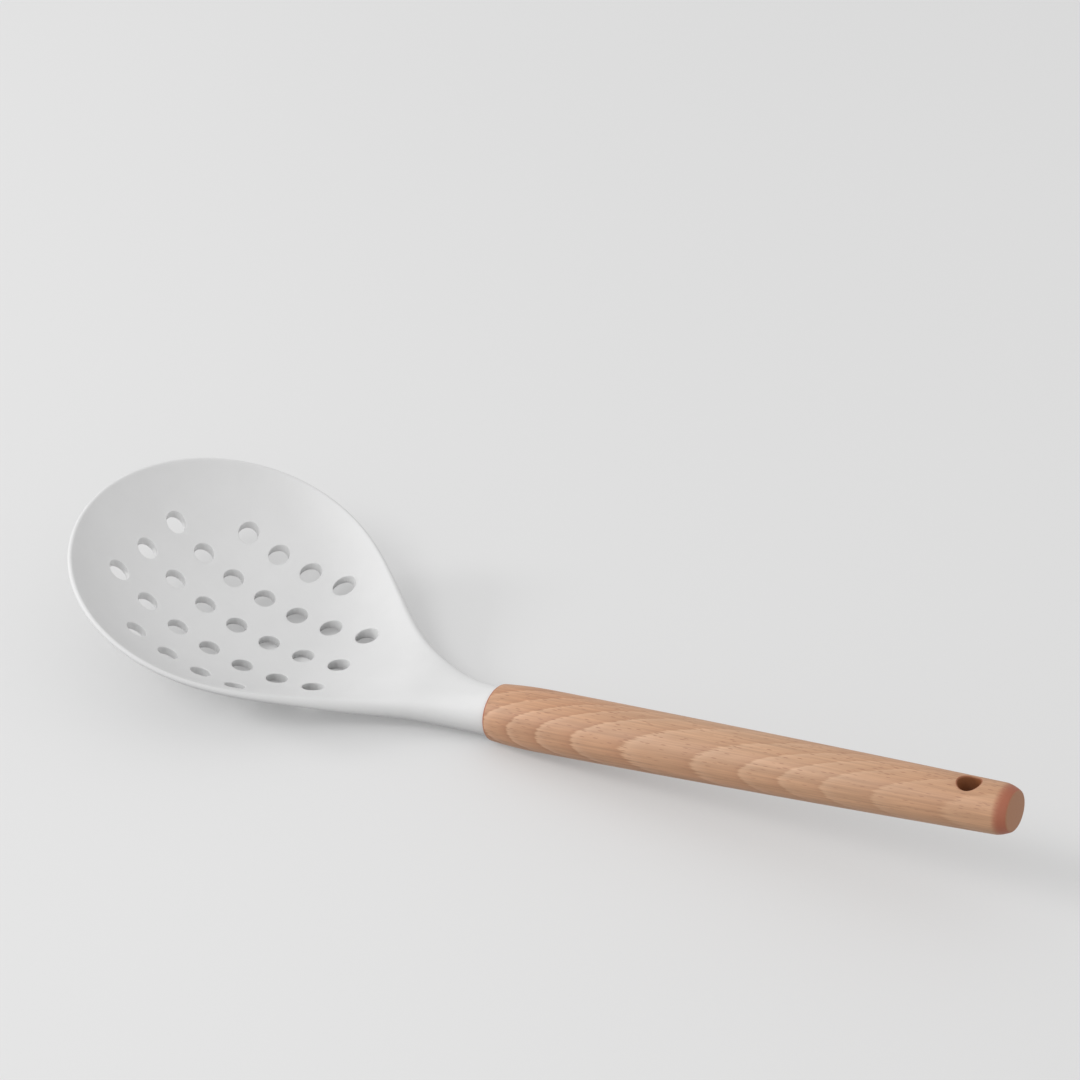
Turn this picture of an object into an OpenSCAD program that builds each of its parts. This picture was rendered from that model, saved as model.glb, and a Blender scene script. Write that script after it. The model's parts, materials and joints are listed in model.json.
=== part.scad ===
// Skimmer: a dished head of silicone, moulded over a stiff perforated core, on an oval beech handle.
// X runs along the tool with the handle to +X, Z is up, and the tool rests as it lies on a table at Z = 0.
// The origin is on the table, under the middle of the tool's length.

/* [Head outline] */
// Width of the head across its rim
head_w = 108.6; // [92:0.2:124]
// Length from the rim's widest line to the tip of the head
nose_len = 51.5; // [42:0.5:62]
// Length of the spine from the rim's widest line to the handle
shoulder_len = 104.2; // [98:0.2:124]
// Reach of the round of the shoulder, measured along the spine
shoulder_reach = 40; // [30:1:48]
// Place on the spine where the outline is drawn in to the neck
waist_place = 55; // [50:1:70]
// Half width that the outline is drawn in to at that place
waist_half_w = 11; // [9:0.5:20]
// Width of the neck at the handle
neck_w = 16.8; // [13:0.2:18]
// Thickness of the neck at the handle
neck_t = 15; // [11:0.2:16]

/* [Head form] */
// Depth of the dish from the rim down to the middle of its wall
dish_depth = 21.5; // [12:0.5:28]
// Length from the widest line to where the dish fades into the neck
dish_run = 79; // [70:1:90]
// Thickness of the dish wall
wall_t = 3.2; // [2.6:0.1:4.4]
// Thickness that the wall narrows to at its rounded lip
lip_t = 1.8; // [1.6:0.1:2.4]
// Length past the widest line over which the wall keeps its thickness
even_len = 20; // [5:1:40]
// Angle from the handle's axis up to the plane of the rim
neck_bend = 27.4; // [12:0.1:38]
// Radius of the bend in the neck
bend_r = 108.5; // [80:0.5:140]
// Thickness of the silicone over the core
skin_t = 0.6; // [0.5:0.05:0.7]

/* [Drain holes] */
// Diameter of a drain hole
drain_d = 6.8; // [4:0.1:9]
// Distance between neighbours in a row, along the tool
drain_pitch = 12.8; // [11.5:0.1:14]
// Distance between two rows
drain_row_pitch = 16; // [12:0.1:17]
// Distance from the widest line to the middle of the pattern, toward the handle
drain_shift = 8; // [0:0.2:12]

/* [Handle] */
// Length of the handle
grip_len = 177.6; // [130:0.2:220]
// Thickness of the handle at its front
grip_front_t = 19.2; // [18.8:0.1:26]
// Thickness of the handle at its free end
grip_end_t = 14.6; // [13:0.1:20]
// Fullness of the handle's side, above a straight taper, at the middle
grip_belly = 0.35; // [0:0.05:1.5]
// Width of the handle over its thickness
grip_oval = 1.13; // [1:0.01:1.4]
// Rounding of the handle's front edge
front_round = 1; // [0.8:0.1:1.8]
// Depth by which the handle draws in toward its front
draw_depth = 0.9; // [0:0.1:1.4]
// Length over which it draws in
draw_len = 18; // [10:1:30]
// Length of the bevel round the free end
bevel_len = 4.6; // [2:0.1:8]
// Depth of that bevel at the end face
bevel_depth = 1.5; // [0.5:0.1:2.5]
// Diameter of the hanging hole
hang_d = 7; // [4:0.1:8]
// Distance from the free end to the middle of the hanging hole
hang_place = 14; // [11:0.1:24]

/* [Tang] */
// Diameter of the core's tang in the handle
tang_d = 9; // [6:0.1:10]
// Length of the tang in the handle
tang_len = 55; // [30:1:80]
// Width of each glue groove round the tang, and of the land after it
groove_w = 4; // [2:0.1:6]
// Depth of a glue groove
groove_depth = 0.6; // [0.3:0.1:1.2]
// Thickness of the glue between the tang and its bore
glue_t = 0.3; // [0.2:0.05:0.5]
// Depth of the glue beyond the tang's tip
glue_tip = 2; // [1:0.5:6]

/* [Hidden] */

// Length by which a cut passes the surface that it leaves
overrun = 1;
// Drain holes in each row, from one side of the head to the other
row_counts = [4, 7, 7, 7, 4];
// Powers that round the dish: across its section, and along its keel toward the neck
section_power = 2.5;
keel_power = 2.5;
// Power that rounds the bevel at the handle's free end
bevel_power = 1.6;
// Powers with which the wall narrows toward its lip, and the handle draws in toward its front
lip_power = 4;
draw_power = 2;
// Steps of the curved surfaces
nose_steps = 12;
shoulder_steps = 26;
width_steps = 18;
lip_steps = 6;
draw_steps = 5;
grip_steps = 10;
edge_steps = 4;
oval_steps = 56;
drain_steps = 32;
round_steps = 48;

half_w = head_w / 2;
mid_w = half_w - lip_t / 2;
mid_len = nose_len - lip_t / 2;
ring_size = 2 * width_steps + 2 * lip_steps;
bore_d = tang_d + 2 * glue_t;
bend_len = bend_r * neck_bend * PI / 180;

// Outline of the shoulder: a curve from the widest line, along the spine, to the handle
shoulder_ends = [
    [0, half_w],
    [shoulder_reach, half_w],
    [waist_place, waist_half_w],
    [shoulder_len, neck_w / 2]
];
function bezier(p, t) =
    pow(1 - t, 3) * p[0] + 3 * pow(1 - t, 2) * t * p[1] + 3 * (1 - t) * t * t * p[2] + pow(t, 3) * p[3];
function bezier_run(p, t) =
    3 * (pow(1 - t, 2) * (p[1] - p[0]) + 2 * (1 - t) * t * (p[2] - p[1]) + t * t * (p[3] - p[2]));

// Thickness at a place on the spine of what is t thick over the dish, as it grows to that of the neck
function thickness_at(t, u) =
    u < even_len ? t
    : t + (neck_t - t) * pow((u - even_len) / (shoulder_len - even_len), 2);

// Depth of the keel at a place on the spine, and how fast it grows along the spine
function depth_at(u) =
    u < 0 ? dish_depth * (1 - pow(u / nose_len, 2))
    : u < dish_run ? dish_depth * pow(1 - pow(u / dish_run, keel_power), 2)
    : 0;
function depth_slope(u) =
    u < 0 ? -2 * dish_depth * u / pow(nose_len, 2)
    : u < dish_run
        ? -2 * keel_power * dish_depth / dish_run * (1 - pow(u / dish_run, keel_power))
            * pow(u / dish_run, keel_power - 1)
    : 0;

// Stations from tip to handle: place, half width, its growth as a share, half width of the wall's middle
// surface, and the direction of the rim there
nose_stations = [
    for (i = [0 : nose_steps - 1])
        let (
            turn = 90 * i / nose_steps,
            u = -mid_len * cos(turn),
            along = [mid_len * sin(turn), mid_w * cos(turn)]
        )
        [u, half_w * sqrt(1 - pow(u / nose_len, 2)), -u / (pow(nose_len, 2) - u * u), mid_w * sin(turn),
            along / norm(along)]
];
shoulder_stations = [
    for (i = [0 : shoulder_steps])
        let (t = i / shoulder_steps, place = bezier(shoulder_ends, t), run = bezier_run(shoulder_ends, t))
        [place[0], place[1], run[1] / run[0] / place[1], place[1] - thickness_at(lip_t, place[0]) / 2, [1, 0]]
];
stations = concat(nose_stations, shoulder_stations);

// Middle of the wall at a station, s being the share of the way from the spine to the rim, and its normal,
// both in the straight frame of the spine
function wall_middle(st, s) =
    let (y = st[3] * s) [st[0], y, -depth_at(st[0]) * (1 - pow(abs(y) / st[1], section_power))];
function wall_normal(st, s) =
    let (
        share = pow(abs(st[3] * s) / st[1], section_power),
        rise_u = -depth_slope(st[0]) * (1 - share) - section_power * share * depth_at(st[0]) * st[2],
        rise_y = st[3] * s == 0 ? 0 : depth_at(st[0]) * section_power * share / (st[3] * s),
        n = [-rise_u, -rise_y, 1]
    )
    n / norm(n);
// Direction that the lip faces at the rim, for side = 1 or -1
function lip_facing(st, side) =
    let (n = wall_normal(st, side), c = cross(n, [st[4][0], side * st[4][1], 0]) * side)
    c / norm(c);

// Share of the way from the middle of the dish to its rim, and the wall's half thickness there, less cover
function rim_share(st, s) =
    let (a = min(st[0], 0) / mid_len)
    sqrt(a * a + (1 - a * a) * s * s);
function wall_half(st, s, cover) =
    let (narrow = pow(rim_share(st, s), lip_power))
    (thickness_at(wall_t, st[0]) * (1 - narrow) + thickness_at(lip_t, st[0]) * narrow) / 2 - cover;

// One point of the closed ring round the wall at a station, the surface lying cover under the real one
function ring_point(st, j, cover) =
    j <= width_steps
        ? let (s = 2 * j / width_steps - 1)
            wall_middle(st, s) + wall_half(st, s, cover) * wall_normal(st, s)
    : j < width_steps + lip_steps
        ? lip_point(st, 1, 90 - 180 * (j - width_steps) / lip_steps, cover)
    : j <= 2 * width_steps + lip_steps
        ? let (s = 1 - 2 * (j - width_steps - lip_steps) / width_steps)
            wall_middle(st, s) - wall_half(st, s, cover) * wall_normal(st, s)
    : lip_point(st, -1, 180 * (j - 2 * width_steps - lip_steps) / lip_steps - 90, cover);
function lip_point(st, side, turn, cover) =
    let (facing = cos(turn) * lip_facing(st, side) + sin(turn) * wall_normal(st, side))
    wall_middle(st, side) + wall_half(st, side, cover) * facing;

// Places a point of the straight frame on the bent spine, whose handle end is at the origin. What lies past
// the handle's face goes straight on.
function on_spine(p) =
    let (
        d = shoulder_len - p[0],
        turn = min(max(d, 0), bend_len) / bend_r * 180 / PI,
        straight = max(d - bend_len, 0),
        beyond = max(-d, 0)
    )
    [
        beyond - bend_r * sin(turn) - straight * cos(turn) + p[2] * sin(turn),
        p[1],
        bend_r * (1 - cos(turn)) + straight * sin(turn) + p[2] * cos(turn)
    ];

// Slot of a ring's point on the tip, where the top, the bottom and the two lips each draw together
function tip_slot(j) =
    j <= width_steps ? 0
    : j < width_steps + lip_steps ? j - width_steps
    : j <= 2 * width_steps + lip_steps ? lip_steps
    : ring_size - j;
function slot(i, j) =
    let (k = j % ring_size) i == 0 ? tip_slot(k) : lip_steps + 1 + (i - 1) * ring_size + k;
function whole(face) = face[0] != face[1] && face[1] != face[2] && face[2] != face[0];

// The head as one closed surface, cover under the real surface, going beyond the handle's face by past
module head_blank(cover, past) {
    tip_points = [
        for (k = [0 : lip_steps])
            k == 0 ? ring_point(stations[0], 0, cover)
            : k == lip_steps ? ring_point(stations[0], width_steps + lip_steps, cover)
            : ring_point(stations[0], width_steps + k, cover)
    ];
    last = len(stations) - 1;
    rings = [
        for (i = [1 : last])
            for (j = [0 : ring_size - 1])
                ring_point(stations[i], j, cover)
    ];
    end_ring = past == 0 ? [] : [
        for (j = [0 : ring_size - 1])
            ring_point(stations[last], j, cover) + [past, 0, 0]
    ];
    points = [for (p = concat(tip_points, rings, end_ring)) on_spine(p)];
    levels = past == 0 ? last : last + 1;
    sides = [
        for (i = [0 : levels - 1])
            for (j = [0 : ring_size - 1])
                for (face = [
                    [slot(i, j), slot(i, j + 1), slot(i + 1, j + 1)],
                    [slot(i, j), slot(i + 1, j + 1), slot(i + 1, j)]
                ])
                    if (whole(face)) face
    ];
    // The end face starts at a lip, so that no corner lies in line with its neighbours
    cap = [for (j = [0 : ring_size - 1]) slot(levels, j + width_steps + lip_steps / 2)];
    polyhedron(points = points, faces = concat(sides, [cap]), convexity = 8);
}

// The rim's plane, with its origin on the widest line
module rim_frame() {
    translate(on_spine([0, 0, 0]))
        rotate([0, neck_bend, 0])
            children();
}

// Posts through the wall at every drain hole, square to the rim's plane
module drain_posts(d) {
    rows = len(row_counts);
    post_h = dish_depth + 2 * neck_t;
    rim_frame()
        for (r = [0 : rows - 1])
            for (i = [0 : row_counts[r] - 1])
                translate([
                    drain_shift + drain_pitch * (i - (row_counts[r] - 1) / 2),
                    drain_row_pitch * (r - (rows - 1) / 2),
                    -dish_depth - neck_t
                ])
                    cylinder(d = d, h = post_h, $fn = drain_steps);
}

// Half thickness of the handle at a place on its axis
function grip_half(x) =
    let (share = x / grip_len, draw = max(1 - x / draw_len, 0))
    (grip_front_t + (grip_end_t - grip_front_t) * share) / 2 + 4 * grip_belly * share * (1 - share)
        - draw_depth * pow(draw, draw_power);
bevel_start = grip_len - bevel_len;
grip_outline = concat(
    [
        for (i = [0 : edge_steps])
            let (turn = 90 * i / edge_steps)
            [grip_half(front_round) - front_round * (1 - sin(turn)), front_round * (1 - cos(turn))]
    ],
    [
        for (i = [1 : draw_steps])
            let (x = front_round + (draw_len - front_round) * i / draw_steps)
            [grip_half(x), x]
    ],
    [
        for (i = [1 : grip_steps])
            let (x = draw_len + (bevel_start - draw_len) * i / grip_steps)
            [grip_half(x), x]
    ],
    [
        for (i = [1 : edge_steps])
            let (share = i / edge_steps)
            [grip_half(bevel_start) - bevel_depth * pow(share, bevel_power), bevel_start + bevel_len * share]
    ]
);

// How the tool lies: a table line touches the handle's underside and the keel of the dish, and is found by
// moving to the lowest point of each in turn
grip_under = [for (p = grip_outline) [p[1], -p[0]]];
keel_under = [
    for (st = stations)
        let (p = on_spine(ring_point(st, width_steps + lip_steps + width_steps / 2, 0)))
        [p[0], p[2]]
];
function height_over(p, slope) = p[1] - slope * p[0];
function lowest(points, slope) =
    let (heights = [for (p = points) height_over(p, slope)], low = min(heights))
    points[search(low, heights)[0]];
function table_slope(slope, tries) =
    tries == 0 ? slope
    : let (a = lowest(keel_under, slope), b = lowest(grip_under, slope))
        table_slope((b[1] - a[1]) / (b[0] - a[0]), tries - 1);
rest_slope = table_slope(0, 8);
grip_rise = -atan(rest_slope);
joint_height = -min([for (p = concat(keel_under, grip_under)) p[0] * sin(grip_rise) + p[1] * cos(grip_rise)]);

// Ends of the tool along the table, and the middle between them
function rest_place(x, z) = x * cos(grip_rise) - z * sin(grip_rise);
tip_lip = [
    for (k = [0 : lip_steps])
        on_spine(lip_point(stations[0], 1, 90 - 180 * k / lip_steps, 0))
];
tip_place = min([for (p = tip_lip) rest_place(p[0], p[2])]);
end_place = max([for (p = grip_outline) rest_place(p[1], -p[0])]);
mid_place = (tip_place + end_place) / 2;

// Lays the tool down on the table, with its middle over the origin
module at_rest() {
    translate([-mid_place, 0, joint_height])
        rotate([0, -grip_rise, 0])
            children();
}

// Shape turned round the handle's axis from an outline of radius and place
module turned(outline) {
    rotate([0, 90, 0])
        rotate_extrude($fn = round_steps)
            polygon(outline);
}

// Outline of the tang, with a glue groove after each land
module tang_body() {
    grooves = floor((tang_len - 2 * groove_w) / (2 * groove_w));
    land_r = tang_d / 2;
    outline = concat(
        [[0, -overrun], [land_r, -overrun]],
        [
            for (i = [0 : grooves - 1])
                let (x = 2 * groove_w * (i + 1))
                for (p = [
                    [land_r, x - groove_w / 2], [land_r - groove_depth, x],
                    [land_r - groove_depth, x + groove_w / 2], [land_r, x + groove_w]
                ])
                    p
        ],
        [[land_r, tang_len - groove_depth], [land_r - groove_depth, tang_len], [0, tang_len]]
    );
    turned(outline);
}

module head_skin() {
    color("gainsboro")
        at_rest()
            difference() {
                head_blank(0, 0);
                difference() {
                    head_blank(skin_t, overrun);
                    drain_posts(drain_d + 2 * skin_t);
                }
                drain_posts(drain_d);
            }
}

module head_core() {
    color("dimgray")
        at_rest()
            union() {
                difference() {
                    head_blank(skin_t, 0);
                    drain_posts(drain_d + 2 * skin_t);
                }
                tang_body();
            }
}

module tang_glue() {
    bore_r = bore_d / 2;
    bore_len = tang_len + glue_tip;
    color("khaki")
        at_rest()
            difference() {
                turned([[0, 0], [bore_r, 0], [bore_r, bore_len], [0, bore_len]]);
                tang_body();
            }
}

// The handle as one closed surface of oval rings, from its front face to its end face
module grip_blank() {
    rings = len(grip_outline);
    points = [
        for (p = grip_outline)
            for (j = [0 : oval_steps - 1])
                let (turn = 360 * j / oval_steps)
                [p[1], grip_oval * p[0] * sin(turn), p[0] * cos(turn)]
    ];
    sides = [
        for (i = [0 : rings - 2])
            for (j = [0 : oval_steps - 1])
                let (
                    a = i * oval_steps + j,
                    b = i * oval_steps + (j + 1) % oval_steps
                )
                for (face = [[a, b, b + oval_steps], [a, b + oval_steps, a + oval_steps]])
                    face
    ];
    front = [for (j = [oval_steps - 1 : -1 : 0]) j];
    end = [for (j = [0 : oval_steps - 1]) (rings - 1) * oval_steps + j];
    polyhedron(points = points, faces = concat(sides, [front, end]), convexity = 4);
}

module handle() {
    color("burlywood")
        at_rest()
            difference() {
                grip_blank();
                translate([-overrun, 0, 0])
                    rotate([0, 90, 0])
                        cylinder(d = bore_d, h = overrun + tang_len + glue_tip, $fn = round_steps);
                translate([grip_len - hang_place, 0, -grip_front_t])
                    cylinder(d = hang_d, h = 2 * grip_front_t, $fn = round_steps);
            }
}

head_skin();
head_core();
tang_glue();
handle();
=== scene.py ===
# Skimmer: a pale silicone head moulded over a stiff core, on an oiled beech handle.
import json
import math

import bmesh
import bpy
from mathutils import Matrix, Quaternion, Vector

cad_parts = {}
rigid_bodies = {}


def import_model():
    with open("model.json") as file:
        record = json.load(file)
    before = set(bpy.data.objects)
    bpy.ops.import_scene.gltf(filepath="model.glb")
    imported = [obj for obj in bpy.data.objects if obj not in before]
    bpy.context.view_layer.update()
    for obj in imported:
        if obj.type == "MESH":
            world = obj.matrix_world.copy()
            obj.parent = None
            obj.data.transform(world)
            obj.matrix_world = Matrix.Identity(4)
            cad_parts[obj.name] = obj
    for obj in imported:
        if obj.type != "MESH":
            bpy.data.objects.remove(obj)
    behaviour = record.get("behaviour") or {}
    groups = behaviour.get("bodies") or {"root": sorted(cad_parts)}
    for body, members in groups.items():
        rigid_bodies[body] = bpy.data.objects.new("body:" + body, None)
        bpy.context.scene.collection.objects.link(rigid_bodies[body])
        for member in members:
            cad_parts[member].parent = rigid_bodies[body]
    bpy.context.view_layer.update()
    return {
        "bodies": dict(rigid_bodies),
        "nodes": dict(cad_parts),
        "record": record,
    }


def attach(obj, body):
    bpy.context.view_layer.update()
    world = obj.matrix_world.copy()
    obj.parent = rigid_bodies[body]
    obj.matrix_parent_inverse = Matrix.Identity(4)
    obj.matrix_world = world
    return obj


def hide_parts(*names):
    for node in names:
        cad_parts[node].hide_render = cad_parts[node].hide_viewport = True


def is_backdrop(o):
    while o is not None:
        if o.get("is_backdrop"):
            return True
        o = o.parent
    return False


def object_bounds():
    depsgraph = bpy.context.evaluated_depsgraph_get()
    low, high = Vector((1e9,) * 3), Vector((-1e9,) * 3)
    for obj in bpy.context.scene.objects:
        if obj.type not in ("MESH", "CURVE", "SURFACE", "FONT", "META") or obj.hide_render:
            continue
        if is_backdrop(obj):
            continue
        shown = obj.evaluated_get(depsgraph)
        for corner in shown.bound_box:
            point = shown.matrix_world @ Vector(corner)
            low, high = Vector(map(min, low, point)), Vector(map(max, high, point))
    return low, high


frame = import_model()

mm = 0.001
bodyName = next(iter(frame["bodies"]))
print("frame loaded:", ", ".join(sorted(frame["nodes"])))


def hexColour(text):
    # sRGB hex to the linear values that the sockets take
    parts = [int(text[i:i + 2], 16) / 255 for i in (1, 3, 5)]
    return [c / 12.92 if c <= 0.04045 else ((c + 0.055) / 1.055) ** 2.4 for c in parts] + [1.0]


def addNode(material, kind, inputs=None, stops=None, **settings):
    # inputs holds plain values, or the sockets that feed them; stops fills a ramp, as (place, colour)
    tree = material.node_tree
    node = tree.nodes.new("ShaderNode" + kind)
    for name, value in settings.items():
        setattr(node, name, value)
    for name, value in (inputs or {}).items():
        if isinstance(value, bpy.types.NodeSocket):
            tree.links.new(value, node.inputs[name])
        else:
            node.inputs[name].default_value = value
    for i, (place, colour) in enumerate(stops or []):
        ramp = node.color_ramp.elements
        stop = ramp[i] if i < 2 else ramp.new(place)
        stop.position = place
        stop.color = hexColour(colour) if isinstance(colour, str) else [colour] * 3 + [1.0]
    return node


def toward(azimuth, elevation):
    # unit vector to a place seen from the origin, azimuth counted from X toward Y, in degrees
    turn, rise = math.radians(azimuth), math.radians(elevation)
    return Vector((math.cos(turn) * math.cos(rise), math.sin(turn) * math.cos(rise), math.sin(rise)))


def mixColours(material, share, first, second, blend="MIX"):
    mix = addNode(material, "Mix", {0: share, 6: first, 7: second}, data_type="RGBA", blend_type=blend)
    return mix.outputs[2]


def calculate(material, operation, *values):
    return addNode(material, "Math", dict(enumerate(values)), operation=operation).outputs["Value"]


def stretchedPlace(material, place, length, width):
    # coordinates that grow by one for each length along X, and for each width across it
    scale = (1 / length, 1 / width, 1 / width)
    return addNode(material, "Mapping", {"Vector": place, "Scale": scale}).outputs["Vector"]


def newMaterial(name):
    material = bpy.data.materials.new(name)
    material.use_nodes = True
    material.node_tree.nodes.clear()
    return material


# How the tool lies: its long axis, and the place where head and handle meet
handleSizes = {
    "length": 177.6 * mm, "frontThickness": 19.2 * mm, "endThickness": 14.6 * mm,
    "belly": 0.35 * mm, "oval": 1.13, "frontRound": 1 * mm, "drawDepth": 0.9 * mm, "drawLength": 18 * mm,
    "bevelLength": 4.6 * mm, "bevelDepth": 1.5 * mm, "bevelPower": 1.6, "endRound": 0.5 * mm,
    "hangHole": 7 * mm, "hangPlace": 14 * mm, "hangRound": 0.45 * mm,
    "bore": 9.6 * mm, "boreDepth": 57 * mm, "boreSides": 48,
    "drawRings": 8, "rings": 26, "roundSteps": 6, "around": 112, "sharpAngle": 35,
}
endMount = next(mount for mount in frame["record"]["mounts"] if mount["name"] == "handle_end")
toolAxis = Vector(endMount["axis"]).normalized()
toolRise = math.atan2(toolAxis.z, toolAxis.x)
jointPlace = Vector(endMount["pos_m"]) - toolAxis * handleSizes["length"]
toolFrame = Matrix.Translation(jointPlace) @ Matrix.Rotation(-toolRise, 4, "Y")

# Camera
cameraView = {
    "azimuth": -59.47, "elevation": 34.22, "distance": 1213.51 * mm, "roll": -0.3,
    "target": (-56.35 * mm, 100.54 * mm, 0), "lens": 118.45, "nearest": 10 * mm,
}


def makeCamera(view):
    ahead = -toward(view["azimuth"], view["elevation"])
    bpy.ops.object.camera_add(location=Vector(view["target"]) - view["distance"] * ahead)
    camera = bpy.context.object
    camera.name = "camera"
    camera.data.lens = view["lens"]
    camera.rotation_mode = "QUATERNION"
    roll = Quaternion((0, 0, 1), math.radians(view["roll"]))
    camera.rotation_quaternion = ahead.to_track_quat("-Z", "Y") @ roll
    camera.data.clip_start = view["nearest"]
    bpy.context.scene.camera = camera


makeCamera(cameraView)
print("camera placed")


# Modelling helpers
def rollGrid(name, rings, around, pointAt):
    # a flat grid is rolled into a closed skin: ring after ring along it, and its ends are capped
    seamGap, leastEdge = 0.01 * mm, 0.001 * mm
    bpy.ops.object.select_all(action="DESELECT")
    bpy.ops.mesh.primitive_grid_add(x_subdivisions=rings - 1, y_subdivisions=around, size=1)
    piece = bpy.context.object
    piece.name = name
    for corner in piece.data.vertices:
        ring = round((corner.co.x + 0.5) * (rings - 1))
        place = round((corner.co.y + 0.5) * around) % around
        corner.co = toolFrame @ pointAt(ring, place)
    bpy.ops.object.mode_set(mode="EDIT")
    bpy.ops.mesh.select_all(action="SELECT")
    bpy.ops.mesh.remove_doubles(threshold=seamGap)
    bpy.ops.mesh.dissolve_degenerate(threshold=leastEdge)
    bpy.ops.mesh.select_all(action="DESELECT")
    bpy.ops.mesh.select_mode(type="EDGE")
    bpy.ops.mesh.select_non_manifold()
    bpy.ops.mesh.edge_face_add()
    bpy.ops.mesh.select_all(action="SELECT")
    bpy.ops.mesh.normals_make_consistent(inside=False)
    bpy.ops.object.mode_set(mode="OBJECT")
    return piece


def cutAway(piece, cutter):
    cut = piece.modifiers.new("cut", "BOOLEAN")
    cut.operation = "DIFFERENCE"
    cut.solver = "EXACT"
    cut.object = cutter
    bpy.context.view_layer.objects.active = piece
    bpy.ops.object.modifier_apply(modifier=cut.name)
    bpy.data.objects.remove(cutter)


def addPost(place, centre, radius, length, sides):
    bpy.ops.object.select_all(action="DESELECT")
    spot = place @ Matrix.Translation(centre)
    bpy.ops.mesh.primitive_cylinder_add(
        vertices=sides, radius=radius, depth=length, location=spot.to_translation(),
        rotation=spot.to_euler())
    return bpy.context.object


def drill(piece, place, centres, radius, rounding, length, sides=64, steps=4):
    # holes along place's own Z, each with both its edges rounded: the cut is made wider by the
    # rounding, its lining is taken out, the two edges are rolled inwards and then bridged
    posts = [addPost(place, centre, radius + rounding, length, sides) for centre in centres]
    for post in posts:
        post.select_set(True)
    bpy.ops.object.join()
    cutAway(piece, bpy.context.object)
    inward = place.inverted()
    along = place.to_3x3() @ Vector((0, 0, 1))
    slack = 0.02 * mm

    def fromCentre(corner):
        spot = inward @ corner.co
        return min((Vector((spot.x - c[0], spot.y - c[1], 0)) for c in centres), key=lambda v: v.length)

    bpy.ops.object.select_all(action="DESELECT")
    piece.select_set(True)
    bpy.context.view_layer.objects.active = piece
    bpy.ops.object.mode_set(mode="EDIT")
    bpy.ops.mesh.select_mode(type="VERT")
    bpy.ops.mesh.select_all(action="SELECT")
    bpy.ops.mesh.remove_doubles(threshold=slack)
    bpy.ops.mesh.select_all(action="DESELECT")
    bpy.ops.mesh.select_mode(type="FACE")
    mesh = bmesh.from_edit_mesh(piece.data)
    wide = radius + rounding
    for face in mesh.faces:
        face.select = all(abs(fromCentre(corner).length - wide) < slack for corner in face.verts)
    bpy.ops.mesh.delete(type="FACE")
    for side in (1, -1):
        bpy.ops.mesh.select_mode(type="EDGE")
        bpy.ops.mesh.select_all(action="DESELECT")
        mesh = bmesh.from_edit_mesh(piece.data)
        mesh.normal_update()
        for edge in mesh.edges:
            if edge.is_boundary and fromCentre(edge.verts[0]).length > wide - 2 * slack:
                edge.select = edge.link_faces[0].normal.dot(along) * side > 0
        for step in range(steps):
            bpy.ops.mesh.extrude_edges_move()
            mesh = bmesh.from_edit_mesh(piece.data)
            turns = [math.radians(90 * k / steps) for k in (step, step + 1)]
            reach = [radius + rounding * (1 - math.sin(turn)) for turn in turns]
            sink = rounding * (math.cos(turns[0]) - math.cos(turns[1]))
            for corner in mesh.verts:
                if corner.select:
                    away = place.to_3x3() @ fromCentre(corner).normalized()
                    corner.co += (reach[1] - reach[0]) * away - side * sink * along
    bpy.ops.mesh.select_mode(type="EDGE")
    for centre in centres:
        bpy.ops.mesh.select_all(action="DESELECT")
        mesh = bmesh.from_edit_mesh(piece.data)
        for edge in mesh.edges:
            if edge.is_boundary:
                spot = inward @ edge.verts[0].co
                edge.select = math.hypot(spot.x - centre[0], spot.y - centre[1]) < radius + 2 * slack
        bpy.ops.mesh.bridge_edge_loops()
    bpy.ops.mesh.select_all(action="SELECT")
    bpy.ops.mesh.normals_make_consistent(inside=False)
    bpy.ops.object.mode_set(mode="OBJECT")


def finishPiece(piece, node, material, sharpAngle):
    bpy.ops.object.select_all(action="DESELECT")
    piece.select_set(True)
    bpy.context.view_layer.objects.active = piece
    bpy.ops.object.shade_smooth_by_angle(angle=math.radians(sharpAngle))
    piece.data.materials.clear()
    piece.data.materials.append(material)
    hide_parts(node)
    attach(piece, bodyName)
    print("made", piece.name, "with", len(piece.data.polygons), "faces")


# Head
headSizes = {
    "width": 108.6 * mm, "noseLength": 51.5 * mm, "shoulderLength": 104.2 * mm,
    "shoulderReach": 40 * mm, "waistPlace": 55 * mm, "waistHalfWidth": 11 * mm,
    "neckWidth": 16.8 * mm, "neckThickness": 15 * mm,
    "dishDepth": 21.5 * mm, "dishRun": 79 * mm, "wall": 3.2 * mm, "lipWall": 1.8 * mm, "lipPower": 4,
    "evenWall": 20 * mm, "bendAngle": 27.4, "bendRadius": 108.5 * mm, "sectionPower": 2.5, "keelPower": 2.5,
    "holeDiameter": 6.8 * mm, "holePitch": 12.8 * mm, "rowPitch": 16 * mm, "rowShift": 8 * mm,
    "rowCounts": (4, 7, 7, 7, 4), "holeRound": 0.3 * mm, "neckRound": 0.4 * mm,
    "noseRings": 30, "shoulderRings": 70, "across": 44, "lip": 10, "neckSteps": 4,
    "coreWeld": 0.001 * mm, "sharpAngle": 50,
}


def thicknessAt(thickness, place):
    # what has this thickness over the dish grows to that of the neck
    sizes = headSizes
    share = max(place - sizes["evenWall"], 0) / (sizes["shoulderLength"] - sizes["evenWall"])
    return thickness + (sizes["neckThickness"] - thickness) * share ** 2


def wallHalf(station, across):
    # half the wall's thickness, which narrows toward the lip
    sizes = headSizes
    back = min(station[0], 0) / (sizes["noseLength"] - sizes["lipWall"] / 2)
    narrow = math.sqrt(back ** 2 + (1 - back ** 2) * across ** 2) ** sizes["lipPower"]
    wall, lip = thicknessAt(sizes["wall"], station[0]), thicknessAt(sizes["lipWall"], station[0])
    return (wall * (1 - narrow) + lip * narrow) / 2


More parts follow.
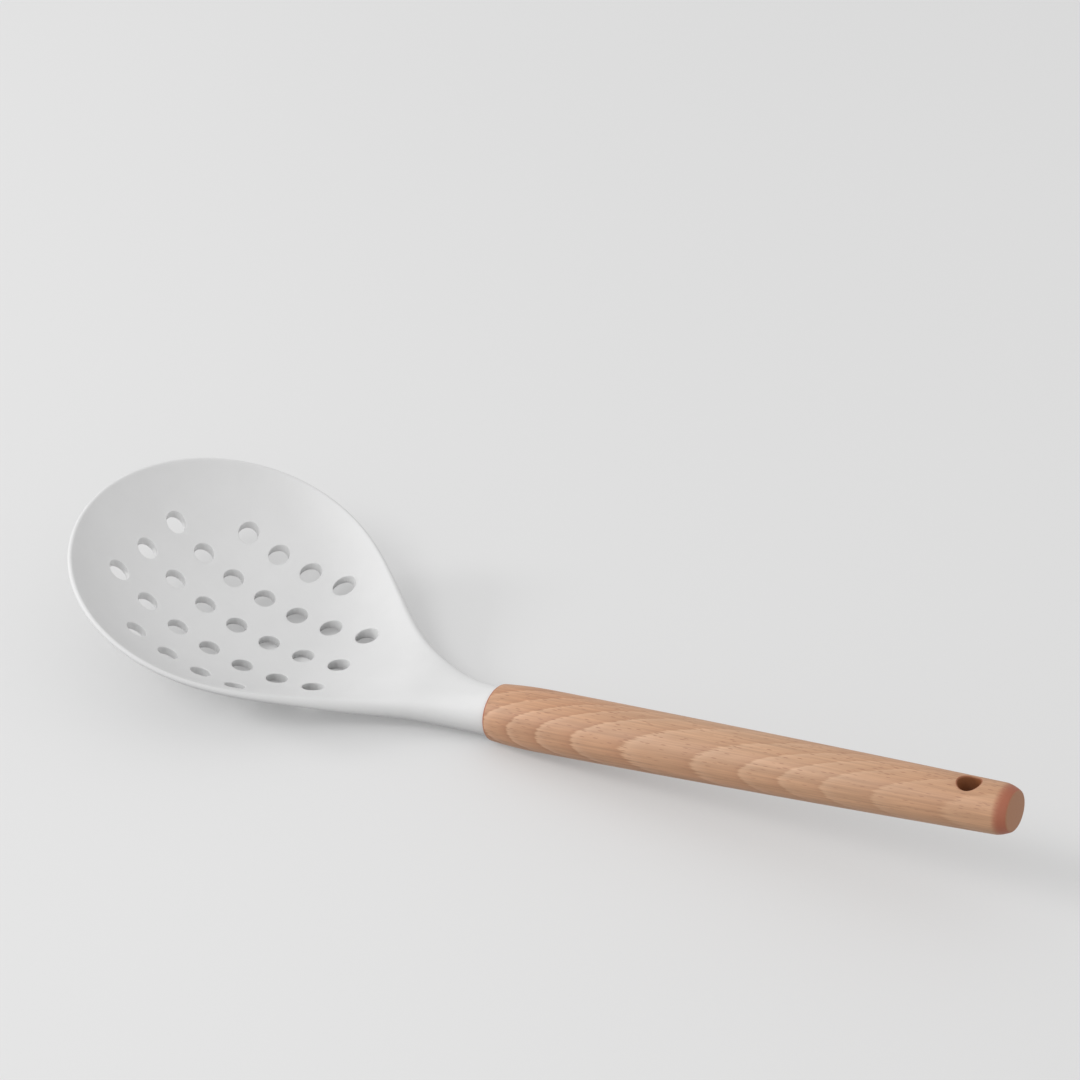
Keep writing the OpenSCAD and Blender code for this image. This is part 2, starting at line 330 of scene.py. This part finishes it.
def keelAt(place):
    # depth of the dish's keel under the rim, and how fast it grows along the head
    sizes = headSizes
    if place < 0:
        share = place / sizes["noseLength"]
        return sizes["dishDepth"] * (1 - share ** 2), -2 * sizes["dishDepth"] * share / sizes["noseLength"]
    if place >= sizes["dishRun"]:
        return 0, 0
    share = (place / sizes["dishRun"]) ** sizes["keelPower"]
    slope = -2 * sizes["keelPower"] * sizes["dishDepth"] * (1 - share) * share / place if place > 0 else 0
    return sizes["dishDepth"] * (1 - share) ** 2, slope


def headStations():
    # from tip to handle: place, half width, its growth as a share, half width of the wall's middle,
    # and the rim's direction
    sizes = headSizes
    found = []
    middleLength = sizes["noseLength"] - sizes["lipWall"] / 2
    middleWidth = sizes["width"] / 2 - sizes["lipWall"] / 2
    for i in range(sizes["noseRings"]):
        turn = math.radians(90 * i / sizes["noseRings"])
        place = -middleLength * math.cos(turn)
        halfWidth = sizes["width"] / 2 * math.sqrt(1 - (place / sizes["noseLength"]) ** 2)
        growth = -place / (sizes["noseLength"] ** 2 - place ** 2)
        rim = Vector((middleLength * math.sin(turn), middleWidth * math.cos(turn), 0)).normalized()
        found.append((place, halfWidth, growth, middleWidth * math.sin(turn), rim))
    ends = [
        Vector((0, sizes["width"] / 2)), Vector((sizes["shoulderReach"], sizes["width"] / 2)),
        Vector((sizes["waistPlace"], sizes["waistHalfWidth"])),
        Vector((sizes["shoulderLength"], sizes["neckWidth"] / 2)),
    ]
    for i in range(sizes["shoulderRings"] + 1):
        t = i / sizes["shoulderRings"]
        spot = ((1 - t) ** 3 * ends[0] + 3 * (1 - t) ** 2 * t * ends[1]
                + 3 * (1 - t) * t ** 2 * ends[2] + t ** 3 * ends[3])
        run = ((1 - t) ** 2 * (ends[1] - ends[0]) + 2 * (1 - t) * t * (ends[2] - ends[1])
               + t ** 2 * (ends[3] - ends[2]))
        growth = run.y / run.x / spot.y
        middle = spot.y - thicknessAt(sizes["lipWall"], spot.x) / 2
        found.append((spot.x, spot.y, growth, middle, Vector((1, 0, 0))))
    return found


def wallMiddle(station, across):
    # across runs from -1 at one rim to 1 at the other
    sizes = headSizes
    place, halfWidth, growth, middleWidth, _ = station
    depth, slope = keelAt(place)
    y = middleWidth * across
    share = (abs(y) / halfWidth) ** sizes["sectionPower"]
    riseAlong = -slope * (1 - share) - sizes["sectionPower"] * share * depth * growth
    riseAcross = 0 if y == 0 else depth * sizes["sectionPower"] * share / y
    return Vector((place, y, -depth * (1 - share))), Vector((-riseAlong, -riseAcross, 1)).normalized()


def ringPoint(station, slot, inset):
    # one point of the closed ring round the wall: top, one lip, underside, the other lip
    across, lip = headSizes["across"], headSizes["lip"]
    if slot <= across:
        share = 2 * slot / across - 1
        middle, normal = wallMiddle(station, share)
        return middle + (wallHalf(station, share) - inset) * normal
    if across + lip <= slot <= 2 * across + lip:
        share = 1 - 2 * (slot - across - lip) / across
        middle, normal = wallMiddle(station, share)
        return middle - (wallHalf(station, share) - inset) * normal
    side = 1 if slot < across + lip else -1
    turn = 90 - 180 * (slot - across) / lip if side == 1 else 180 * (slot - 2 * across - lip) / lip - 90
    middle, normal = wallMiddle(station, side)
    rim = Vector((station[4].x, side * station[4].y, 0))
    outward = (normal.cross(rim) * side).normalized()
    facing = math.cos(math.radians(turn)) * outward + math.sin(math.radians(turn)) * normal
    return middle + (wallHalf(station, side) - inset) * facing


def onSpine(point):
    # bends the straight head on its spine, whose handle end is the tool's origin
    sizes = headSizes
    bendLength = sizes["bendRadius"] * math.radians(sizes["bendAngle"])
    left = sizes["shoulderLength"] - point.x
    turn = min(left, bendLength) / sizes["bendRadius"]
    straight = max(left - bendLength, 0)
    return Vector((
        -sizes["bendRadius"] * math.sin(turn) - straight * math.cos(turn) + point.z * math.sin(turn),
        point.y,
        sizes["bendRadius"] * (1 - math.cos(turn)) + straight * math.sin(turn) + point.z * math.cos(turn),
    ))


def makeHead(material):
    sizes = headSizes
    stations = headStations()
    rings = [(station, 0, 0) for station in stations[:-1]]
    for k in range(sizes["neckSteps"] + 1):      # the neck's end edge is rounded before it meets the wood
        turn = math.radians(90 * k / sizes["neckSteps"])
        back, inset = (sizes["neckRound"] * (1 - share) for share in (math.sin(turn), math.cos(turn)))
        rings.append((stations[-1], back, inset))

    def pointAt(ring, slot):
        station, back, inset = rings[ring]
        return onSpine(ringPoint(station, slot, inset) - Vector((back, 0, 0)))

    head = rollGrid("silicone_head", len(rings), 2 * sizes["across"] + 2 * sizes["lip"], pointAt)
    rimFrame = (toolFrame @ Matrix.Translation(onSpine(Vector((0, 0, 0))))
                @ Matrix.Rotation(math.radians(sizes["bendAngle"]), 4, "Y"))
    centres = [
        Vector((sizes["rowShift"] + sizes["holePitch"] * (i - (count - 1) / 2),
                sizes["rowPitch"] * (row - (len(sizes["rowCounts"]) - 1) / 2), 0))
        for row, count in enumerate(sizes["rowCounts"]) for i in range(count)
    ]
    drill(head, rimFrame, centres, sizes["holeDiameter"] / 2, sizes["holeRound"], 4 * sizes["dishDepth"])
    core = frame["nodes"]["head_core"].copy()      # the stiff core's place is left hollow in the silicone
    core.data = core.data.copy()
    core.parent = None
    bpy.context.scene.collection.objects.link(core)
    bpy.ops.object.select_all(action="DESELECT")
    core.select_set(True)
    bpy.context.view_layer.objects.active = core
    bpy.ops.object.mode_set(mode="EDIT")
    bpy.ops.mesh.select_all(action="SELECT")
    bpy.ops.mesh.remove_doubles(threshold=sizes["coreWeld"])
    bpy.ops.object.mode_set(mode="OBJECT")
    cutAway(head, core)
    finishPiece(head, "head_skin", material, sizes["sharpAngle"])


# Handle
def gripHalf(x):
    sizes = handleSizes
    share = x / sizes["length"]
    taper = (sizes["frontThickness"] + (sizes["endThickness"] - sizes["frontThickness"]) * share) / 2
    drawnIn = sizes["drawDepth"] * max(1 - x / sizes["drawLength"], 0) ** 2
    return taper + 4 * sizes["belly"] * share * (1 - share) - drawnIn


def gripOutline():
    # radius and place of each ring, from the rounded front edge to the bevelled free end
    sizes = handleSizes
    steps = sizes["roundSteps"]
    outline = []
    for i in range(steps + 1):
        turn = math.radians(90 * i / steps)
        outline.append((gripHalf(sizes["frontRound"]) - sizes["frontRound"] * (1 - math.sin(turn)),
                        sizes["frontRound"] * (1 - math.cos(turn))))
    bevelStart = sizes["length"] - sizes["bevelLength"]
    for start, end, count in ((sizes["frontRound"], sizes["drawLength"], sizes["drawRings"]),
                              (sizes["drawLength"], bevelStart, sizes["rings"])):
        for i in range(1, count + 1):
            x = start + (end - start) * i / count
            outline.append((gripHalf(x), x))
    bevelEnd = 1 - sizes["endRound"] / sizes["bevelLength"]
    for i in range(1, steps + 1):
        share = bevelEnd * i / steps
        outline.append((gripHalf(bevelStart) - sizes["bevelDepth"] * share ** sizes["bevelPower"],
                        bevelStart + sizes["bevelLength"] * share))
    last = Vector(outline[-1])
    corner = Vector((gripHalf(bevelStart) - sizes["bevelDepth"], sizes["length"]))
    face = corner - Vector((sizes["endRound"], 0))
    for i in range(1, steps + 1):
        t = i / steps
        outline.append(tuple((1 - t) ** 2 * last + 2 * (1 - t) * t * corner + t ** 2 * face))
    return outline


def makeHandle(material):
    sizes = handleSizes
    outline = gripOutline()

    def pointAt(ring, slot):
        radius, x = outline[ring]
        turn = 2 * math.pi * slot / sizes["around"]
        return Vector((x, sizes["oval"] * radius * math.sin(turn), radius * math.cos(turn)))

    handle = rollGrid("beech_handle", len(outline), sizes["around"], pointAt)
    hangFrame = toolFrame @ Matrix.Translation((sizes["length"] - sizes["hangPlace"], 0, 0))
    middle = Vector((0, 0, 0))
    drill(handle, hangFrame, [middle], sizes["hangHole"] / 2, sizes["hangRound"],
          3 * sizes["frontThickness"])
    boreFrame = toolFrame @ Matrix.Rotation(math.pi / 2, 4, "Y")
    cutAway(handle, addPost(boreFrame, middle, sizes["bore"] / 2, 2 * sizes["boreDepth"],
                            sizes["boreSides"]))
    finishPiece(handle, "handle", material, sizes["sharpAngle"])


# Materials
def siliconeMaterial():
    # Platinum-cured silicone rubber, moulded in a spark-eroded tool: matt and pale, with a soft wide
    # sheen and a fine even tooth
    look = {
        "pale": "#dddddd", "dull": "#dbdbdb", "dullRoughness": 0.47, "paleRoughness": 0.57, "ior": 1.41,
        "mottle": 9 * mm, "tooth": 0.7 * mm, "toothDepth": 0.015 * mm,    # tooth drawn coarser than real
    }
    rubber = newMaterial("moulded_silicone_rubber")
    place = addNode(rubber, "TexCoord").outputs["Object"]
    mottle = addNode(rubber, "TexNoise", {"Vector": place, "Scale": 1 / look["mottle"], "Detail": 3.0})
    colour = addNode(rubber, "ValToRGB", {"Fac": mottle.outputs["Fac"]},
                     stops=[(0.3, look["dull"]), (0.7, look["pale"])])
    shine = addNode(rubber, "MapRange", {
        "Value": mottle.outputs["Fac"], "To Min": look["dullRoughness"], "To Max": look["paleRoughness"]})
    tooth = addNode(rubber, "TexNoise", {"Vector": place, "Scale": 1 / look["tooth"], "Detail": 2.0})
    bump = addNode(rubber, "Bump", {
        "Height": tooth.outputs["Fac"], "Distance": look["toothDepth"], "Strength": 0.6})
    surface = addNode(rubber, "BsdfPrincipled", {
        "Base Color": colour.outputs["Color"], "Roughness": shine.outputs["Result"],
        "IOR": look["ior"], "Normal": bump.outputs["Normal"], "Specular IOR Level": 0.4})
    addNode(rubber, "OutputMaterial", {"Surface": surface.outputs["BSDF"]})
    return rubber


def beechMaterial():
    # Steamed beech, turned, sanded and lightly oiled: pinkish tan, with growth rings that run out on
    # the side as nested arches, short brown ray flecks along the grain, and darker end grain
    look = {
        "heart": 89.4 * mm, "heartSide": (0.982, -0.187),     # heart of the trunk, off the handle
        "runOut": 0.35, "runOutBend": 0.22,     # how the heart leaves the handle toward the free end
        "ringWidth": 5.05 * mm, "firstRing": -21.75,
        "uneven": 0.34, "unevenLength": 30 * mm, "unevenStart": -3.33,     # some years grew wider
        "wander": 2.0 * mm, "wanderLength": 14 * mm, "grainStretch": 0.18,
        "ragged": 0.3,     # in years, where the fibres cross a ring
        # colours within a year, the first two for its start and its end
        "ringColours": ((0.0, "#c69e80"), (1.0, "#be9476"), (0.06, "#cfa88a"), (0.14, "#c9a184"),
                        (0.3, "#c2987a"), (0.6, "#c09576"), (0.86, "#b78a6c"), (0.95, "#b08264")),
        # how strongly the rings show: at the front, at the free end, and in the plainest patches
        "ringsFront": 0.95, "ringsEnd": 0.3, "ringsLeast": 0.35, "between": "#c19a7a",
        "patch": 26 * mm, "blush": "#fff3ea",
        "fibreLength": 30 * mm, "fibreWidth": 0.6 * mm,
        "fleckLength": 4.5 * mm, "fleckGap": 0.65 * mm, "fleckColour": "#a0745a",
        "fleckLow": -5 * mm, "fleckHigh": 7 * mm,     # the flecks grow stronger between these heights
        "bevelGrain": "#a25c42", "endGrain": "#a67352", "holeGrainAndShade": "#8f5a38",     # cut grain soaks up oil; the hanging hole's colour adds painted shade to its cut grain
        # how far the hole's painted shade reaches out past its edge
        "holeShadeSpread": 0.6 * mm,
        "poreRoughness": 0.6, "fibreRoughness": 0.44, "ior": 1.5, "poreDepth": 0.03 * mm,
    }
    wood = newMaterial("oiled_turned_beech")
    place = addNode(wood, "TexCoord")
    local = addNode(wood, "Mapping", {
        "Vector": place.outputs["Object"], "Location": jointPlace, "Rotation": (0, -toolRise, 0)},
        vector_type="TEXTURE").outputs["Vector"]     # along the grain, from the handle's front
    xyz = addNode(wood, "SeparateXYZ", {"Vector": local})

    # Years, counted from the heart of the trunk
    bend = calculate(wood, "MULTIPLY_ADD", xyz.outputs["X"], -look["runOutBend"], look["runOut"])
    heart = calculate(wood, "MULTIPLY_ADD", xyz.outputs["X"], bend, look["heart"])
    fromHeart = [calculate(wood, "MULTIPLY_ADD", heart, -side, xyz.outputs[axis])
                 for axis, side in zip(("Y", "Z"), look["heartSide"])]
    across = addNode(wood, "CombineXYZ", {"Y": fromHeart[0], "Z": fromHeart[1]}).outputs["Vector"]
    distance = addNode(wood, "VectorMath", {0: across}, operation="LENGTH").outputs["Value"]
    stretched = addNode(wood, "Mapping", {
        "Vector": local, "Scale": (look["grainStretch"], 1, 1)}).outputs["Vector"]
    wander = addNode(wood, "TexNoise", {
        "Vector": stretched, "Scale": 1 / look["wanderLength"], "Detail": 2.0})
    wandered = calculate(wood, "MULTIPLY_ADD", wander.outputs["Fac"], look["wander"], distance)
    rings = calculate(wood, "MULTIPLY_ADD", wandered, 1 / look["ringWidth"], look["firstRing"])
    seasonTurn = 2 * math.pi / look["unevenLength"]
    season = calculate(wood, "MULTIPLY_ADD", wandered, seasonTurn, look["unevenStart"])
    years = calculate(wood, "MULTIPLY_ADD", calculate(wood, "SINE", season), look["uneven"], rings)
    fibrePlace = stretchedPlace(wood, local, look["fibreLength"], look["fibreWidth"])
    fibres = addNode(wood, "TexNoise", {"Vector": fibrePlace, "Scale": 1.0, "Detail": 4.0}).outputs["Fac"]
    ring = calculate(wood, "FRACT", calculate(wood, "MULTIPLY_ADD", fibres, look["ragged"], years))
    ringColour = addNode(wood, "ValToRGB", {"Fac": ring}, stops=look["ringColours"]).outputs["Color"]

    # The rings fade in patches and toward the free end, and some patches are pinker
    patches = addNode(wood, "TexNoise", {"Vector": stretched, "Scale": 1 / look["patch"], "Detail": 1.0})
    fade = addNode(wood, "MapRange", {
        "Value": xyz.outputs["X"], "From Max": handleSizes["length"],
        "To Min": look["ringsFront"], "To Max": look["ringsEnd"]})
    ringShare = addNode(wood, "MapRange", {
        "Value": patches.outputs["Fac"], "From Min": 0.35, "From Max": 0.6,
        "To Min": look["ringsLeast"], "To Max": fade.outputs["Result"]})
    shown = mixColours(wood, ringShare.outputs["Result"], hexColour(look["between"]), ringColour)
    blush = addNode(wood, "MapRange", {"Value": patches.outputs["Color"], "From Min": 0.4, "From Max": 0.65})
    blushed = mixColours(wood, blush.outputs["Result"], shown, hexColour(look["blush"]), "MULTIPLY")

    # Fibres and ray flecks, which show most where the years stand on edge, near the top
    fibreTone = addNode(wood, "ValToRGB", {"Fac": fibres}, stops=[(0.32, 0.84), (0.68, 1.1)])
    toned = mixColours(wood, 1.0, blushed, fibreTone.outputs["Color"], "MULTIPLY")
    fleckPlace = stretchedPlace(wood, local, look["fleckLength"], look["fleckGap"])
    flecks = addNode(wood, "TexVoronoi", {"Vector": fleckPlace, "Scale": 1.0})
    fleck = addNode(wood, "ValToRGB", {"Fac": flecks.outputs["Distance"]}, stops=[(0.14, 0.9), (0.26, 0.0)])
    quarter = addNode(wood, "MapRange", {
        "Value": xyz.outputs["Z"], "From Min": look["fleckLow"], "From Max": look["fleckHigh"],
        "To Min": 0.2})
    fleckShare = calculate(wood, "MULTIPLY", fleck.outputs["Color"], quarter.outputs["Result"])
    flecked = mixColours(wood, fleckShare, toned, hexColour(look["fleckColour"]))

    # Cut grain at the bevel, the free end and the hanging hole, and painted shade that darkens the hole's
    # lining
    facing = addNode(wood, "VectorMath", {0: place.outputs["Normal"], 1: toolAxis}, operation="DOT_PRODUCT")
    turnedAway = calculate(wood, "ABSOLUTE", facing.outputs["Value"])
    cutColour = addNode(wood, "ValToRGB", {"Fac": turnedAway},
                        stops=[(0.6, look["bevelGrain"]), (0.95, look["endGrain"])])
    cutShare = addNode(wood, "MapRange", {
        "Value": turnedAway, "From Min": 0.06, "From Max": 0.4, "To Max": 0.95},
        interpolation_type="SMOOTHSTEP")
    ended = mixColours(wood, cutShare.outputs["Result"], flecked, cutColour.outputs["Color"])
    holePlace = handleSizes["length"] - handleSizes["hangPlace"]
    holeRadius = handleSizes["hangHole"] / 2
    fromHole = addNode(wood, "VectorMath", {0: local, 1: (-holePlace, 0, 0)}).outputs["Vector"]
    flat = addNode(wood, "VectorMath", {0: fromHole, 1: (1, 1, 0)}, operation="MULTIPLY").outputs["Vector"]
    holeReach = addNode(wood, "VectorMath", {0: flat}, operation="LENGTH").outputs["Value"]
    # painted shade: the hole's lining and a thin band round its edge are darkened as if in shadow
    holeShadeShare = addNode(wood, "MapRange", {
        "Value": holeReach, "From Min": holeRadius, "From Max": holeRadius + look["holeShadeSpread"],
        "To Min": 1.0, "To Max": 0.0})
    colour = mixColours(wood, holeShadeShare.outputs["Result"], ended, hexColour(look["holeGrainAndShade"]))

    bump = addNode(wood, "Bump", {"Height": fibres, "Distance": look["poreDepth"], "Strength": 0.5})
    shine = addNode(wood, "MapRange", {
        "Value": fibres, "To Min": look["poreRoughness"], "To Max": look["fibreRoughness"]})
    surface = addNode(wood, "BsdfPrincipled", {
        "Base Color": colour, "Roughness": shine.outputs["Result"], "IOR": look["ior"],
        "Normal": bump.outputs["Normal"]})
    addNode(wood, "OutputMaterial", {"Surface": surface.outputs["BSDF"]})
    return wood


def nylonMaterial():
    # Natural glass-filled nylon, injection moulded: dull and creamy, with faint pale fibre streaks
    look = {
        "base": "#bdb9ae", "streak": "#cfccc2", "streakLength": 4 * mm, "streakWidth": 0.5 * mm,
        "streakDepth": 0.02 * mm, "roughness": 0.6, "ior": 1.53,
    }
    nylon = newMaterial("glass_filled_nylon")
    place = addNode(nylon, "TexCoord").outputs["Object"]
    streakPlace = stretchedPlace(nylon, place, look["streakLength"], look["streakWidth"])
    streaks = addNode(nylon, "TexNoise", {"Vector": streakPlace, "Scale": 1.0, "Detail": 3.0})
    colour = addNode(nylon, "ValToRGB", {"Fac": streaks.outputs["Fac"]},
                     stops=[(0.4, look["base"]), (0.7, look["streak"])])
    bump = addNode(nylon, "Bump", {
        "Height": streaks.outputs["Fac"], "Distance": look["streakDepth"], "Strength": 0.4})
    surface = addNode(nylon, "BsdfPrincipled", {
        "Base Color": colour.outputs["Color"], "Roughness": look["roughness"], "IOR": look["ior"],
        "Normal": bump.outputs["Normal"]})
    addNode(nylon, "OutputMaterial", {"Surface": surface.outputs["BSDF"]})
    return nylon


def epoxyMaterial():
    # Two-part epoxy glue, poured and cured: amber and glossy, with small milky bubbles
    look = {
        "amber": "#c9a45c", "bubble": "#e2cf9f", "bubbleGap": 2.5 * mm, "bubbleDepth": 0.03 * mm,
        "roughness": 0.18, "ior": 1.55,
    }
    glue = newMaterial("cured_epoxy")
    place = addNode(glue, "TexCoord").outputs["Object"]
    bubbles = addNode(glue, "TexVoronoi", {"Vector": place, "Scale": 1 / look["bubbleGap"]})
    colour = addNode(glue, "ValToRGB", {"Fac": bubbles.outputs["Distance"]},
                     stops=[(0.1, look["bubble"]), (0.22, look["amber"])])
    bump = addNode(glue, "Bump", {
        "Height": bubbles.outputs["Distance"], "Distance": look["bubbleDepth"], "Strength": 0.3})
    surface = addNode(glue, "BsdfPrincipled", {
        "Base Color": colour.outputs["Color"], "Roughness": look["roughness"], "IOR": look["ior"],
        "Normal": bump.outputs["Normal"]})
    addNode(glue, "OutputMaterial", {"Surface": surface.outputs["BSDF"]})
    return glue


makeHead(siliconeMaterial())
makeHandle(beechMaterial())
for node, material in (("head_core", nylonMaterial()), ("tang_glue", epoxyMaterial())):
    frame["nodes"][node].data.materials.clear()
    frame["nodes"][node].data.materials.append(material)
print("materials set")

# Floor and light
studio = {
    "floorSize": 8.0, "floor": "#bababa", "floorShade": "#b8b8b8", "floorGlow": 0.25,
    "bounce": "#b0b0b0",     # what light meets on the floor after the object, so undersides stay darker
    "key": {"azimuth": 198, "elevation": 21, "distance": 1.6, "size": 0.3, "power": 7.2},
    "fill": {"azimuth": 241, "elevation": 47, "distance": 1.6, "size": 0.5, "power": 5.0},
    "sky": "#ffffff", "skyAzimuth": 300, "skyElevation": 35, "skyBehind": 0.64, "skyFront": 0.845,
    "horizon": "#dedede",
}


def makeFloor(look):
    bpy.ops.object.select_all(action="DESELECT")
    lowest = min(0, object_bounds()[0].z)
    bpy.ops.mesh.primitive_plane_add(size=look["floorSize"], location=(0, 0, lowest))
    floor = bpy.context.object
    floor.name = "floor"
    # White acrylic of a light table, matt on top: its own faint glow keeps the shadows pale
    acrylic = newMaterial("matt_acrylic_light_table")
    place = addNode(acrylic, "TexCoord").outputs["Object"]
    noise = addNode(acrylic, "TexNoise", {"Vector": place, "Scale": 2.0, "Detail": 1.0})
    colour = addNode(acrylic, "ValToRGB", {"Fac": noise.outputs["Fac"]},
                     stops=[(0.3, look["floorShade"]), (0.7, look["floor"])])
    path = addNode(acrylic, "LightPath")
    seen = calculate(acrylic, "MAXIMUM", path.outputs["Is Camera Ray"], path.outputs["Is Glossy Ray"])
    shown = mixColours(acrylic, seen, hexColour(look["bounce"]), colour.outputs["Color"])
    surface = addNode(acrylic, "BsdfPrincipled", {
        "Base Color": shown, "Roughness": 0.9, "Specular IOR Level": 0.2,
        "Emission Color": hexColour("#ffffff"),
        "Emission Strength": calculate(acrylic, "MULTIPLY", seen, look["floorGlow"])})
    addNode(acrylic, "OutputMaterial", {"Surface": surface.outputs["BSDF"]})
    floor.data.materials.append(acrylic)
    floor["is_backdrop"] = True


def makeLamp(name, look):
    direction = toward(look["azimuth"], look["elevation"])
    bpy.ops.object.light_add(type="AREA", location=direction * look["distance"])
    lamp = bpy.context.object
    lamp.name = name
    lamp.data.size = look["size"]
    lamp.data.energy = look["power"]
    lamp.rotation_mode = "QUATERNION"
    lamp.rotation_quaternion = (-direction).to_track_quat("-Z", "Y")


def makeSky(look):
    world = bpy.data.worlds.new("studio")
    bpy.context.scene.world = world
    world.use_nodes = True
    world.node_tree.nodes.clear()
    # the sky is a little brighter where the camera stands
    front = toward(look["skyAzimuth"], look["skyElevation"])
    direction = addNode(world, "TexCoord").outputs["Generated"]
    toFront = addNode(world, "VectorMath", {0: direction, 1: front}, operation="DOT_PRODUCT")
    level = addNode(world, "MapRange", {
        "Value": toFront.outputs["Value"], "From Min": -1.0,
        "To Min": look["skyBehind"], "To Max": look["skyFront"]})
    sky = addNode(world, "Background", {"Color": hexColour(look["sky"]), "Strength": level.outputs["Result"]})
    seen = addNode(world, "Background", {"Color": hexColour(look["horizon"]), "Strength": 1.0})
    path = addNode(world, "LightPath")
    mix = addNode(world, "MixShader", {
        0: path.outputs["Is Camera Ray"], 1: sky.outputs["Background"], 2: seen.outputs["Background"]})
    addNode(world, "OutputWorld", {"Surface": mix.outputs["Shader"]})


makeFloor(studio)
makeLamp("key_light", studio["key"])
makeLamp("fill_light", studio["fill"])
makeSky(studio)
bpy.context.scene.view_settings.view_transform = "Standard"
print("studio set")
